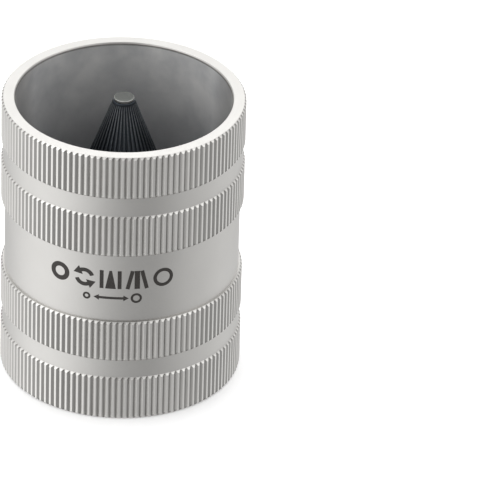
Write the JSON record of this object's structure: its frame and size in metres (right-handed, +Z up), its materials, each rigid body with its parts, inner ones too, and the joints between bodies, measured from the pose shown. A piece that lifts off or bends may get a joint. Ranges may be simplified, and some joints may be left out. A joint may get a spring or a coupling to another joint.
{
  "type": "deburring tool",
  "caption": "Knurled cylindrical hand deburring tool with a fluted inner cone at one end and a fluted outer cone at the other, for pipe ends.",
  "frame": {"origin": "centre of the lower rim, on the surface that the tool stands on", "axes": "+Z up along the tool's axis, from the outer cone's mouth to the inner cone's tip; -Y is the side with the etched marking"},
  "size_m": [0.068, 0.068, 0.0845],
  "materials": {
    "sleeve_aluminium": "fine satin with turned and straight-knurled bands",
    "cutter_steel": "hardened, black oxide, slightly oily",
    "fastener_steel": "dark, dull, worn brighter at the edges",
    "spring_steel": "blackened spring wire",
    "etched_mark": "dark laser etching, dull"
  },
  "bodies": {
    "root": {"grip_sleeve": "sleeve_aluminium", "inner_deburring_cone": "cutter_steel", "outer_deburring_cone": "cutter_steel", "centre_rivet": "fastener_steel", "rivet_washer": "fastener_steel", "retaining_ring": "spring_steel", "drive_pin_1": "fastener_steel", "drive_pin_2": "fastener_steel", "drive_pin_3": "fastener_steel"}
  },
  "joints": []
}
